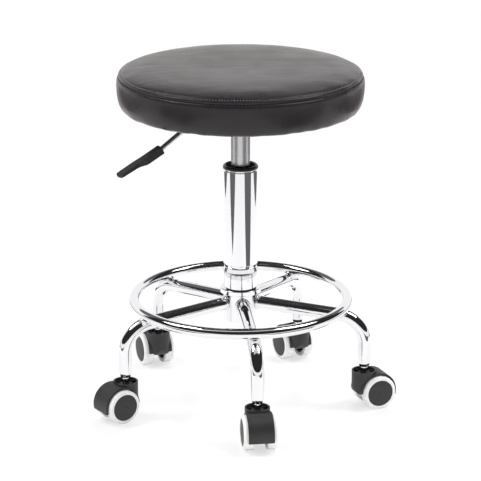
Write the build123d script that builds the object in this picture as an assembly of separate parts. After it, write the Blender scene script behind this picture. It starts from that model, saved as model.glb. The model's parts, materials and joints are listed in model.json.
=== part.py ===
from build123d import *
import os
from math import cos, radians, sin, sqrt, tan

# Adjustable swivel stool in millimetres. The origin is on the floor under the
# column, +Z is up, and leg 1 points along -Y. Every azimuth below is measured
# from -Y towards +X. The stool stands as photographed: seat part way up its
# travel and each caster turned to its own heading.

# Legs and foot ring
leg_count = 5
leg_diameter = 20.0
leg_wall = 1.5
leg_hub_height = 151.5          # leg axis where it leaves the hub
leg_slope = 5.5                 # degrees below level, going outwards
leg_bend_radius = 42.0
caster_circle_radius = 184.5
leg_weld_bead = 1.6
ring_radius = 156.6             # centre line of the foot ring
ring_tube = 16.0
ring_wall = 1.4
ring_saddle = 1.0               # depth to which the ring lies in the legs

# Hub
hub_diameter = 50.0
hub_bottom = 125.0
hub_top = 206.5
hub_collar_diameter = 60.0
hub_collar_bottom = 167.0
hub_collar_height = 7.6
hub_edge = 1.0
hub_cone_height = 6.0           # slight cone below the hub's top
hub_cone_inset = 1.2

# Gas lift
tube_diameter = 50.0
tube_wall = 2.0
tube_top = 359.5
tube_neck = 4.5                 # bare spigot between the hub and the wide tube
tube_lip = 3.5                  # width of the rolled top edge
tube_bead_height = 5.5
tube_bead_round = 2.6
tube_groove_height = 2.0        # groove below the rolled bead
tube_groove_depth = 1.1
spigot_drop = 0.5               # how much the spigot's radius tapers
tube_floor_rise = 6.0           # floor plate above the hub's lower edge
tube_floor_thickness = 3.0
bush_length = 57.0
bush_recess = 4.0               # top of the bush below the rolled edge
bush_dish = 5.0
cylinder_diameter = 28.0
cylinder_wall = 2.0
cylinder_bottom = 192.0
cylinder_end = 2.0              # thickness of the rolled ends
cylinder_exposed = 47.5         # between the rolled edge and the seat socket
cylinder_proud = 1.0            # cylinder above the socket
taper_drop = 0.8                # how much the cone's radius tapers in the socket
valve_block_diameter = 22.0
valve_block_length = 23.0
rod_guide_length = 12.0
rod_diameter = 10.0
rod_spigot_diameter = 8.0
rod_flange_diameter = 24.0
rod_flange_thickness = 2.3
rod_head = 2.0
piston_bottom = 293.0
piston_length = 12.0
race_thickness = 1.6
race_diameter = 24.0
ball_diameter = 3.0
ball_count = 8
ball_circle_radius = 8.5
cage_thickness = 1.2
cage_width = 4.4
clip_diameter = 14.0
clip_thickness = 1.5
clip_groove = 0.8
clip_mouth = 5.2
bumper_diameter = 32.0
bumper_height = 8.0
pin_diameter = 6.0              # release pin
pin_length = 24.0

# Seat plate
plate_side = 150.0
plate_corner = 14.0
plate_thickness = 2.5
pan_depth = 24.5
pan_top_radius = 56.0
pan_floor_radius = 49.5
socket_diameter = 38.0
socket_drop = 14.0              # socket below the pan
socket_rise = 8.0               # socket top above the pan's underside
bolt_spacing = 120.0
bolt_diameter = 6.0
bolt_length = 12.0
bolt_head_flats = 10.0
bolt_head_height = 4.0

# Seat
seat_diameter = 355.0
seat_seam_inset = 1.5           # insets are from the widest line
seat_foot_inset = 7.5
seat_side_height = 47.1         # board underside up to the seam
seat_widest_height = 29.5       # board underside up to the widest line
seat_crown_height = 13.5        # seam up to the flat middle
seat_shoulder_inset = 15.5
seat_shoulder_height = 9.6      # seam up to the shoulder of the crown
seat_flat_diameter = 120.0
seat_crown_fullness = 0.24      # share of the crown's fall in its inner half
seat_foot_round = 6.5
seam_groove = 1.0
cover_thickness = 1.2
cover_turn_under = 32.0
board_inset = 18.5
board_thickness = 12.0
board_round = 2.0
tee_flange_diameter = 19.0
tee_flange_thickness = 1.2
tee_barrel_diameter = 8.0
tee_barrel_length = 9.0

# Height lever
lever_azimuth = -62.0
lever_diameter = 8.0
lever_above_cylinder = 8.0      # rod axis over the cylinder's top
lever_inner_reach = 6.0         # rod past the column's axis
lever_pivot_radius = 40.0
lever_pivot_diameter = 4.0
lever_pivot_length = 17.0
lever_ear_width = 10.0
lever_ear_thickness = 2.5
lever_bend_reach = 76.0
lever_bend_radius = 14.0
lever_drop_angle = 29.5
lever_handle_reach = 136.5      # where the rod turns up a little into the handle
lever_handle_angle = 23.5
lever_handle_socket = 24.0
handle_length = 78.0
handle_block_length = 31.0
handle_step_length = 14.0
handle_block_height = 11.0
handle_blade_height = 5.8
handle_tip_height = 4.4
handle_block_width = 11.0
handle_blade_width = 13.5
handle_edge = 1.0
handle_step_round = 20.0
handle_blade_round = 30.0
handle_tip_flat = 1.7           # straight part across the tip

# Casters
caster_headings = (1.0, 105.0, 200.0, 195.0, -62.0)
wheel_diameter = 50.0
wheel_outer_width = 49.0        # over both wheels
wheel_gap = 19.0                # between the two wheels
tyre_thickness = 5.3
wheel_disc_thickness = 2.6
wheel_rim_thickness = 2.2
wheel_boss_diameter = 13.0
wheel_rib_count = 6
wheel_rib_thickness = 1.6
wheel_rib_inset = 3.0
wheel_dome = 0.9                # centre of the disc proud of its edge
tyre_shoulder = 3.6
tyre_inner_shoulder = 1.4
caster_trail = 16.0
axle_diameter = 6.0
axle_length = 43.0
hood_collar_diameter = 36.0
hood_collar_height = 56.0
hood_width = 37.0
hood_wall = 2.4
hood_edge_round = 1.6
hood_wheel_clearance = 1.2
hood_web = 5.0
hood_end_angle = -15.0          # fender's end, degrees from level
hood_shield_bottom = 19.5
hood_front_round = 14.0         # shield's lower front corner, seen from the side
hood_recess_depth = 7.0
hood_recess_wall = 2.4
hood_rib_count = 6
hood_rib_thickness = 1.8
hood_rib_drop = 2.0
hood_boss_diameter = 18.0
hood_boss_drop = 3.4
stem_gap = 17.5                 # collar's top up to the leg's end
stem_shoulder_diameter = 18.6
stem_shoulder_height = 11.0
stem_cone_diameter = 13.5       # foot of the shoulder, where its cone ends
stem_cone_height = 5.5
stem_cone_round = 5.0
stem_neck_diameter = 11.0
stem_pin_diameter = 8.0
stem_pin_length = 24.0
stem_shank_diameter = 11.0
stem_shank_length = 20.0
leg_socket_length = 20.0
leg_socket_inset = 1.2

# Clearances
press_gap = 0.02
running_gap = 0.05
bush_gap = 0.10
body_gap = 0.3
pad_gap = 0.3
weld_gap = 0.05
lever_side_gap = 1.0
pin_slack = 0.35                # release pin under the lever
wheel_end_gap = 0.3
round_slack = 0.01              # keeps two rounds on one edge apart
cut_over = 1.0                  # cutters run past the faces that they cut

# Worked out from the sizes above
leg_radius = leg_diameter / 2
hub_radius = hub_diameter / 2
tube_radius = tube_diameter / 2
tube_bore = tube_radius - tube_wall
cylinder_radius = cylinder_diameter / 2
tube_floor = hub_bottom + tube_floor_rise
bearing_seat = tube_floor + tube_floor_thickness
ball_height = bearing_seat + race_thickness + running_gap + ball_diameter / 2
rod_flange_bottom = ball_height + ball_diameter / 2 + running_gap
rod_flange_top = rod_flange_bottom + rod_flange_thickness
socket_bottom = tube_top + cylinder_exposed
pan_bottom = socket_bottom + socket_drop
socket_top = pan_bottom + socket_rise
plate_top = pan_bottom + pan_depth
cylinder_top = socket_top + cylinder_proud
cylinder_bore = cylinder_radius - cylinder_wall
valve_block_top = cylinder_top - cylinder_end
lever_height = cylinder_top + lever_above_cylinder
board_top = plate_top + board_thickness
seat_seam = plate_top + seat_side_height
seat_top = seat_seam + seat_crown_height
seat_bottom = plate_top - cover_thickness
seat_radius = seat_diameter / 2
seat_seam_radius = seat_radius - seat_seam_inset
seat_foot_radius = seat_radius - seat_foot_inset
board_radius = seat_radius - board_inset
wheel_radius = wheel_diameter / 2
wheel_centre_radius = wheel_radius - tyre_thickness
wheel_inner_face = wheel_gap / 2
wheel_outer_face = wheel_outer_width / 2
leg_end = hood_collar_height + stem_gap
leg_fall = tan(radians(leg_slope))
leg_corner = leg_hub_height - (caster_circle_radius - hub_radius) * leg_fall
caster_angles = [360 / leg_count * index for index in range(leg_count)]


def turn_to(azimuth):
    """Turn a shape drawn along +X so that it points at an azimuth."""
    return Rot(0, 0, azimuth - 90)


def turned(*corners):
    """Body of revolution about Z from corners (radius, height, rounding)."""
    points = [(radius, height) for radius, height, _ in corners]
    rounds = [rounding for _, _, rounding in corners]
    outline = FilletPolyline(*points, radius=rounds, close=True)
    return revolve(Plane.XZ * make_face(outline), Axis.Z)


def upright(radius, bottom, top):
    """Cylinder about Z between two heights."""
    return Pos(0, 0, bottom) * extrude(Circle(radius), top - bottom)


def crosswise(radius, length):
    """Cylinder along Y, centred on the origin."""
    return Rot(90, 0, 0) * Cylinder(radius, length)


def swept_rod(path, radius):
    """Round bar along a path that starts straight."""
    return sweep(Plane(path @ 0, z_dir=path % 0) * Circle(radius), path)


# Base: hub, legs, foot ring, sockets and stems


def make_hub():
    """Turned sleeve with a collar, bored to the taper of the gas lift."""
    collar_top = hub_collar_bottom + hub_collar_height
    collar_radius = hub_collar_diameter / 2
    return turned(
        (tube_bore - spigot_drop, hub_bottom, 0),
        (hub_radius, hub_bottom, hub_edge),
        (hub_radius, hub_collar_bottom, 0),
        (collar_radius, hub_collar_bottom, hub_edge),
        (collar_radius, collar_top, hub_edge),
        (hub_radius, collar_top, 0),
        (hub_radius, hub_top - hub_cone_height, 0),
        (hub_radius - hub_cone_inset, hub_top, hub_edge / 2),
        (tube_bore, hub_top, 0),
    )


def leg_path(inner_radius, lower_end):
    """Leg axis in the XZ plane, sloping out and then bent straight down."""
    start_height = leg_hub_height + (hub_radius - inner_radius) * leg_fall
    return FilletPolyline(
        (inner_radius, 0, start_height),
        (caster_circle_radius, 0, leg_corner),
        (caster_circle_radius, 0, lower_end),
        radius=leg_bend_radius,
    )


def ring_height():
    """Height at which the ring lies in its saddle on the bent leg."""
    slope = radians(leg_slope)
    tangent = leg_bend_radius * tan((radians(90) - slope) / 2)
    bend_start = caster_circle_radius - tangent * cos(slope)
    bend_x = bend_start - leg_bend_radius * sin(slope)
    bend_z = leg_corner + tangent * sin(slope) - leg_bend_radius * cos(slope)
    reach = leg_radius + ring_tube / 2 - ring_saddle
    if ring_radius < bend_start:
        return leg_hub_height - (ring_radius - hub_radius) * leg_fall + reach / cos(slope)
    return bend_z + sqrt((leg_bend_radius + reach) ** 2 - (ring_radius - bend_x) ** 2)


def make_leg(azimuth):
    """Bent tube with a weld bead, coped to the hub and notched for the ring."""
    inside = hub_radius / 2
    tube = swept_rod(leg_path(inside, leg_end), leg_radius)
    bore = swept_rod(leg_path(inside - cut_over, leg_end - cut_over), leg_radius - leg_wall)
    bead_place = Plane(
        origin=(hub_radius, 0, leg_hub_height),
        z_dir=(cos(radians(leg_slope)), 0, -sin(radians(leg_slope))),
    )
    bead = bead_place * Torus(leg_radius, leg_weld_bead)
    cope = upright(hub_radius + weld_gap, hub_bottom, hub_top)
    saddle = Pos(0, 0, ring_height()) * Torus(ring_radius, ring_tube / 2 + weld_gap)
    return turn_to(azimuth) * (tube + bead - bore - cope - saddle)


def make_foot_ring():
    """Closed ring of round tube."""
    outside = Torus(ring_radius, ring_tube / 2)
    hollow = Torus(ring_radius, ring_tube / 2 - ring_wall)
    return Pos(0, 0, ring_height()) * (outside - hollow)


def make_leg_sockets():
    """Plugs pressed into the leg ends, bored for the caster stems."""
    bottom = leg_end + leg_socket_inset
    plug_radius = leg_radius - leg_wall - press_gap
    bore_radius = stem_shank_diameter / 2 + press_gap
    plug = turned(
        (bore_radius, bottom, 0),
        (plug_radius, bottom, hub_edge),
        (plug_radius, bottom + leg_socket_length, hub_edge),
        (bore_radius, bottom + leg_socket_length, 0),
    )
    return [turn_to(angle) * Pos(caster_circle_radius, 0, 0) * plug for angle in caster_angles]


def make_caster_stems():
    """Stems with a shank in the leg, a shoulder, a neck and a swivel pin."""
    rest = hood_collar_height - hood_boss_drop + body_gap
    shoulder_bottom = leg_end - stem_shoulder_height
    shoulder = stem_shoulder_diameter / 2
    stem = turned(
        (0, rest - stem_pin_length, 0),
        (stem_pin_diameter / 2, rest - stem_pin_length, hub_edge),
        (stem_pin_diameter / 2, rest, 0),
        (stem_neck_diameter / 2, rest, 0),
        (stem_neck_diameter / 2, shoulder_bottom, 0),
        (stem_cone_diameter / 2, shoulder_bottom, 0),
        (shoulder, shoulder_bottom + stem_cone_height, stem_cone_round),
        (shoulder, leg_end, 0),
        (stem_shank_diameter / 2, leg_end, 0),
        (stem_shank_diameter / 2, leg_end + stem_shank_length, hub_edge),
        (0, leg_end + stem_shank_length, 0),
    )
    return [turn_to(angle) * Pos(caster_circle_radius, 0, 0) * stem for angle in caster_angles]


# Gas lift


def make_stand_tube():
    """Outer tube with a rolled top edge and a necked spigot with a floor."""
    inner = tube_bore - tube_wall
    rod_hole = rod_spigot_diameter / 2 + body_gap
    lip = tube_radius - tube_lip
    tube_foot = hub_top + tube_neck
    bead_bottom = tube_top - tube_bead_height
    groove = tube_radius - tube_groove_depth
    return turned(
        (rod_hole, tube_floor, 0),
        (tube_bore - spigot_drop - press_gap, tube_floor, hub_edge),
        (tube_bore - press_gap, hub_top, 0),
        (tube_bore - press_gap, tube_foot, 0),
        (tube_radius, tube_foot, hub_edge),
        (tube_radius, bead_bottom - tube_groove_height, tube_groove_depth / 2),
        (groove, bead_bottom - tube_groove_height + tube_groove_depth, 0),
        (groove, bead_bottom, 0),
        (tube_radius, bead_bottom, tube_groove_depth - round_slack),
        (tube_radius, tube_top, tube_bead_round),
        (lip, tube_top, tube_lip - tube_bead_round - round_slack),
        (lip, tube_top - tube_lip, 0),
        (tube_bore, tube_top - tube_lip, 0),
        (tube_bore, tube_foot + tube_wall, 0),
        (inner, tube_foot + tube_wall, 0),
        (inner - spigot_drop, bearing_seat, 0),
        (rod_hole, bearing_seat, 0),
    )


def make_guide_bush():
    """Plastic sleeve that guides the pressure cylinder, dished on top."""
    top = tube_top - bush_recess
    bore = cylinder_radius + bush_gap
    outside = tube_bore - press_gap
    return turned(
        (bore, top - bush_length, 0),
        (outside, top - bush_length, hub_edge),
        (outside, top, 0),
        (outside - hub_edge, top, 0),
        (bore + hub_edge, top - bush_dish, 0),
        (bore, top - bush_dish, 0),
    )


def make_thrust_bearing():
    """Lower race, and a cage with its balls."""
    bore = rod_spigot_diameter / 2 + body_gap
    race_edge = race_diameter / 2
    race = turned(
        (bore, bearing_seat, 0),
        (race_edge, bearing_seat, 0),
        (race_edge, bearing_seat + race_thickness, 0),
        (bore, bearing_seat + race_thickness, 0),
    )
    cage_bottom = ball_height - cage_thickness / 2
    cage_top = ball_height + cage_thickness / 2
    cage = upright(ball_circle_radius + cage_width / 2, cage_bottom, cage_top)
    cage -= upright(ball_circle_radius - cage_width / 2, cage_bottom - cut_over, cage_top + cut_over)
    for index in range(ball_count):
        spot = Rot(0, 0, 360 / ball_count * index) * Pos(ball_circle_radius, 0, ball_height)
        cage += spot * Sphere(ball_diameter / 2)
    return [race, cage]


def make_piston_rod():
    """Rod with a bearing flange, a clip groove and a peened upper end."""
    spigot = rod_spigot_diameter / 2
    clip_top = tube_floor - body_gap
    clip_bottom = clip_top - clip_thickness - 2 * press_gap
    foot = clip_bottom - clip_thickness
    flange = rod_flange_diameter / 2
    piston_top = piston_bottom + piston_length
    return turned(
        (0, foot, 0),
        (spigot, foot, 0),
        (spigot, clip_bottom, 0),
        (spigot - clip_groove, clip_bottom, 0),
        (spigot - clip_groove, clip_top, 0),
        (spigot, clip_top, 0),
        (spigot, rod_flange_bottom, 0),
        (flange, rod_flange_bottom, 0),
        (flange, rod_flange_top, 0),
        (rod_diameter / 2, rod_flange_top, 0),
        (rod_diameter / 2, piston_bottom, 0),
        (spigot, piston_bottom, 0),
        (spigot, piston_top, 0),
        (rod_diameter / 2, piston_top, 0),
        (rod_diameter / 2, piston_top + rod_head, hub_edge),
        (0, piston_top + rod_head, 0),
    )


def make_piston():
    """Piston with a ring groove, held on the rod's shoulder."""
    bore = rod_spigot_diameter / 2 + press_gap
    outside = cylinder_bore - body_gap
    groove = piston_length / 3
    return turned(
        (bore, piston_bottom, 0),
        (outside, piston_bottom, hub_edge),
        (outside, piston_bottom + groove, 0),
        (outside - hub_edge, piston_bottom + groove, 0),
        (outside - hub_edge, piston_bottom + 2 * groove, 0),
        (outside, piston_bottom + 2 * groove, 0),
        (outside, piston_bottom + piston_length, hub_edge),
        (bore, piston_bottom + piston_length, 0),
    )


def make_rod_clip():
    """Open ring in the rod's groove."""
    bore = rod_spigot_diameter / 2 - clip_groove + press_gap
    top = tube_floor - body_gap - press_gap
    ring = upright(clip_diameter / 2, top - clip_thickness, top)
    ring -= upright(bore, top - 2 * clip_thickness, top + cut_over)
    mouth = Pos(clip_diameter / 2, 0, top) * Box(clip_diameter, clip_mouth, 4 * clip_thickness)
    return ring - mouth


def make_bumper():
    """Rubber ring that stops the cylinder at its lowest height."""
    bore = rod_diameter / 2 + body_gap
    edge = bumper_diameter / 2
    return turned(
        (bore, rod_flange_top, 0),
        (edge, rod_flange_top, hub_edge),
        (edge, rod_flange_top + bumper_height, 2 * hub_edge),
        (bore, rod_flange_top + bumper_height, 0),
    )


def make_pressure_cylinder():
    """Bright tube with rolled ends and a cone that sits in the seat socket."""
    rod_hole = cylinder_bore - 2 * cylinder_end
    pin_hole = pin_diameter / 2 + hub_edge
    block = valve_block_diameter / 2 + press_gap
    block_bottom = valve_block_top - valve_block_length
    cone_top = cylinder_radius - taper_drop
    return turned(
        (rod_hole, cylinder_bottom, 0),
        (cylinder_radius, cylinder_bottom, cylinder_end),
        (cylinder_radius, socket_bottom, 0),
        (cone_top, socket_top, 0),
        (cone_top, cylinder_top, cylinder_proud - round_slack),
        (pin_hole, cylinder_top, 0),
        (pin_hole, valve_block_top, 0),
        (block, valve_block_top, 0),
        (block, block_bottom, 0),
        (cylinder_bore, block_bottom, 0),
        (cylinder_bore, cylinder_bottom + cylinder_end, 0),
        (rod_hole, cylinder_bottom + cylinder_end, 0),
    )


def make_valve_block():
    """Plug in the cylinder's top, bored for the release pin."""
    bottom = valve_block_top - valve_block_length
    bore = pin_diameter / 2 + running_gap
    block = upright(valve_block_diameter / 2, bottom, valve_block_top)
    return block - upright(bore, bottom - cut_over, valve_block_top + cut_over)


def make_rod_guide():
    """Guide and seal at the cylinder's lower end."""
    bottom = cylinder_bottom + cylinder_end
    bore = rod_diameter / 2 + running_gap
    guide = upright(cylinder_bore - press_gap, bottom, bottom + rod_guide_length)
    return guide - upright(bore, bottom - cut_over, bottom + rod_guide_length + cut_over)


def make_release_pin():
    """Pin under the lever's inner end."""
    top = lever_height - lever_diameter / 2 - pin_slack
    edge = pin_diameter / 2
    bottom = top - pin_length
    return turned((0, bottom, 0), (edge, bottom, 0), (edge, top, hub_edge), (0, top, 0))


# Seat


def bolt_places():
    """Four bolt positions on the flange."""
    half = bolt_spacing / 2
    return [Pos(x, y, 0) for x in (-half, half) for y in (-half, half)]


def make_seat_plate():
    """Pressed pan with a square flange, a conical socket and lever ears."""
    flange = plate_top - plate_thickness
    floor = pan_bottom + plate_thickness
    socket = socket_diameter / 2
    slant = (pan_top_radius - pan_floor_radius) / (pan_depth - plate_thickness)
    wall = plate_thickness * sqrt(1 + slant ** 2)
    pan = turned(
        (socket, pan_bottom, 0),
        (pan_floor_radius + wall - slant * plate_thickness, pan_bottom, plate_thickness),
        (pan_top_radius + wall - slant * plate_thickness, flange, 0),
        (plate_side / 2, flange, 0),
        (plate_side / 2, plate_top, 0),
        (pan_top_radius, plate_top, plate_thickness),
        (pan_floor_radius, floor, plate_thickness),
        (socket, floor, 0),
    )
    outline = RectangleRounded(plate_side, plate_side, plate_corner)
    square = Pos(0, 0, flange) * extrude(outline, plate_thickness)
    square -= upright(plate_side / 2 - plate_corner, flange - cut_over, plate_top + cut_over)
    cone = turned(
        (cylinder_radius + press_gap, socket_bottom, 0),
        (socket, socket_bottom, hub_edge),
        (socket, socket_top, hub_edge),
        (cylinder_radius - taper_drop + press_gap, socket_top, 0),
    )
    plate = pan + square + cone
    for place in bolt_places():
        plate -= place * upright(bolt_diameter / 2 + body_gap, flange - cut_over, plate_top + cut_over)
    slot_width = lever_diameter + 2 * lever_side_gap
    slot_bottom = lever_height - lever_diameter / 2 - lever_side_gap
    slot_start = pan_floor_radius - wall
    slot_height = plate_top - slot_bottom + cut_over
    slot = Pos(slot_start + plate_side / 2, 0, slot_bottom + slot_height / 2)
    plate -= turn_to(lever_azimuth) * slot * Box(plate_side, slot_width, slot_height)
    ear_top = lever_height + lever_ear_width / 2
    ear = Box(lever_ear_width, lever_ear_thickness, ear_top - floor)
    ear = Pos(lever_pivot_radius, 0, (floor + ear_top) / 2) * ear
    ear = fillet(ear.edges().filter_by(Axis.Y).group_by(Axis.Z)[-1], lever_ear_width / 2 - round_slack)
    hole = crosswise(lever_pivot_diameter / 2 + press_gap, plate_side)
    hole = Pos(lever_pivot_radius, 0, lever_height) * hole
    offset_y = slot_width / 2 + lever_ear_thickness / 2
    ears = Pos(0, offset_y, 0) * ear + Pos(0, -offset_y, 0) * ear - hole
    return plate + turn_to(lever_azimuth) * ears


def make_seat_bolts():
    """Hexagon bolts up through the flange into the tee nuts."""
    flange = plate_top - plate_thickness
    head = Pos(0, 0, flange - bolt_head_height) * extrude(
        RegularPolygon(bolt_head_flats / 2, 6, major_radius=False), bolt_head_height
    )
    bolt = head + upright(bolt_diameter / 2, flange - bolt_head_height / 2, flange + bolt_length)
    return [place * bolt for place in bolt_places()]


def make_tee_nuts():
    """Flanged nuts let into the top of the board."""
    bore = bolt_diameter / 2 + running_gap
    flange_edge = tee_flange_diameter / 2
    barrel = tee_barrel_diameter / 2
    nut = turned(
        (bore, board_top - tee_barrel_length, 0),
        (barrel, board_top - tee_barrel_length, 0),
        (barrel, board_top - tee_flange_thickness, 0),
        (flange_edge, board_top - tee_flange_thickness, 0),
        (flange_edge, board_top, 0),
        (bore, board_top, 0),
    )
    return [place * nut for place in bolt_places()]


def make_seat_board():
    """Round plywood board, bored and counterbored for the tee nuts."""
    board = turned(
        (0, plate_top, 0),
        (board_radius, plate_top, board_round),
        (board_radius, board_top, board_round),
        (0, board_top, 0),
    )
    sink = board_top - tee_flange_thickness
    for place in bolt_places():
        board -= place * upright(tee_barrel_diameter / 2 + press_gap, plate_top - cut_over, board_top)
        board -= place * upright(tee_flange_diameter / 2 + press_gap, sink, board_top + cut_over)
    return board


def seat_outline():
    """Half section of the upholstered seat, drawn in below and crowned on top."""
    widest = (seat_radius, plate_top + seat_widest_height)
    shoulder = (seat_radius - seat_shoulder_inset, seat_seam + seat_shoulder_height)
    foot_start = (seat_foot_radius - seat_foot_round, seat_bottom)
    foot_end = (seat_foot_radius, seat_bottom + seat_foot_round)
    foot_bulge = seat_foot_round * (1 - sqrt(0.5))
    foot_middle = (seat_foot_radius - foot_bulge, seat_bottom + foot_bulge)
    seam = (seat_seam_radius, seat_seam)
    crown_middle = (
        shoulder[0] + (seam[0] - shoulder[0]) * sqrt(0.5),
        seat_seam + seat_shoulder_height * sqrt(0.5),
    )
    flat_edge = (seat_flat_diameter / 2, seat_top)
    dome_fall = (seat_top - shoulder[1]) * seat_crown_fullness
    dome_middle = ((shoulder[0] + flat_edge[0]) / 2, seat_top - dome_fall)
    return [
        Line((0, seat_top), (0, seat_bottom)),
        Line((0, seat_bottom), foot_start),
        ThreePointArc(foot_start, foot_middle, foot_end),
        TangentArc(widest, foot_end, tangent=(0, -1)),
        TangentArc(widest, seam, tangent=(0, 1)),
        ThreePointArc(seam, crown_middle, shoulder),
        ThreePointArc(shoulder, dome_middle, flat_edge),
        Line(flat_edge, (0, seat_top)),
    ]


def seat_form(inset):
    """Solid of the seat's outside, drawn in all round by an inset."""
    section = make_face(seat_outline())
    if inset > 0:
        middle = (seat_top + seat_bottom) / 2
        core = Pos(inset, middle) * Rectangle(2 * inset, seat_top - seat_bottom - 2 * inset)
        section = offset(section, amount=-inset) + core
    return revolve(Plane.XZ * section, Axis.Z)


def seat_slice(bottom, top):
    """Disc wide enough to cut the seat between two heights."""
    return upright(seat_diameter, bottom, top)


def make_cover():
    """Vinyl cover as a top panel and a side band turned under the board."""
    skin = seat_form(0) - seat_form(cover_thickness)
    top_panel = skin & seat_slice(seat_seam, seat_top + cut_over)
    groove = Pos(0, 0, seat_seam) * Torus(seat_seam_radius + seam_groove / 2, seam_groove)
    side_band = skin & seat_slice(seat_bottom - cut_over, seat_seam)
    turned_edge = seat_foot_radius - cover_turn_under
    side_band -= upright(turned_edge, seat_bottom - cut_over, plate_top + cut_over)
    return top_panel - groove, side_band - groove


def make_foam_pad():
    """Foam that fills the cover above and around the board."""
    pad = seat_form(cover_thickness + pad_gap)
    return pad - upright(board_radius + pad_gap, seat_bottom, board_top)


# Height lever


def lever_path():
    """Rod axis in the XZ plane: level, bent down, then eased into the handle."""
    drop = (lever_handle_reach - lever_bend_reach) * tan(radians(lever_drop_angle))
    entry = Vector(lever_handle_reach, 0, lever_height - drop)
    return FilletPolyline(
        (-lever_inner_reach, 0, lever_height),
        (lever_bend_reach, 0, lever_height),
        entry,
        entry + handle_direction() * lever_handle_socket,
        radius=lever_bend_radius,
    )


def handle_direction():
    """Unit vector along the handle."""
    angle = radians(lever_handle_angle)
    return Vector(cos(angle), 0, -sin(angle))


def handle_up():
    """Unit vector square to the handle, pointing up."""
    angle = radians(lever_handle_angle)
    return Vector(sin(angle), 0, cos(angle))


def make_lever_rod():
    """Bent round bar with a cross hole for the pivot."""
    rod = swept_rod(lever_path(), lever_diameter / 2)
    hole = Pos(lever_pivot_radius, 0, lever_height)
    pivot = crosswise(lever_pivot_diameter / 2 + running_gap, lever_pivot_length)
    return turn_to(lever_azimuth) * (rod - hole * pivot)


def make_lever_handle():
    """Moulded paddle: a block round the rod that steps up into a thin blade."""
    half = handle_block_height / 2
    step_end = handle_block_length + handle_step_length
    blade_bottom = half - handle_blade_height
    tip_bottom = half - handle_tip_height
    tip_edge = handle_tip_height / 2 - round_slack
    side = FilletPolyline(
        (0, -half),
        (handle_block_length, -half),
        (step_end, blade_bottom),
        (handle_length, tip_bottom),
        (handle_length, half),
        (0, half),
        radius=[handle_edge, handle_step_round, handle_blade_round, tip_edge, tip_edge, handle_edge],
        close=True,
    )
    narrow = handle_block_width / 2
    wide = handle_blade_width / 2
    tip_round = wide - handle_tip_flat / 2
    step_rounds = [handle_step_round, handle_step_round]
    plan = FilletPolyline(
        (0, -narrow),
        (handle_block_length, -narrow),
        (step_end, -wide),
        (handle_length, -wide),
        (handle_length, wide),
        (step_end, wide),
        (handle_block_length, narrow),
        (0, narrow),
        radius=[handle_edge, *step_rounds, tip_round, tip_round, *step_rounds, handle_edge],
        close=True,
    )
    blank = extrude(Plane.XZ * make_face(side), handle_blade_width, both=True)
    trim = extrude(make_face(plan), handle_block_height, both=True)
    paddle = blank & trim
    entry = lever_path() @ 1 - handle_direction() * lever_handle_socket
    place = Plane(entry, x_dir=handle_direction(), z_dir=handle_up())
    bore = swept_rod(lever_path(), lever_diameter / 2 + press_gap)
    return turn_to(lever_azimuth) * (place * paddle - bore)


def make_lever_pin():
    """Pivot pin across the two ears."""
    pin = crosswise(lever_pivot_diameter / 2, lever_pivot_length)
    return turn_to(lever_azimuth) * Pos(lever_pivot_radius, 0, lever_height) * pin


# Casters, drawn with the swivel axis on Z and the trail along +X


def caster_place(index):
    """Place of one caster under its leg, turned to its heading."""
    leg = turn_to(caster_angles[index]) * Pos(caster_circle_radius, 0, 0)
    return Pos(*leg.position) * turn_to(caster_headings[index])


def hood_section(radius):
    """Side view of the fender as a sector round the axle, open below."""
    end = radians(hood_end_angle)
    far = 2 * radius
    cut = Polyline(
        (0, 0),
        (far * cos(end), far * sin(end)),
        (far, far),
        (-far, far),
        (-far, 0),
        close=True,
    )
    return Circle(radius) & make_face(cut)


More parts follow.
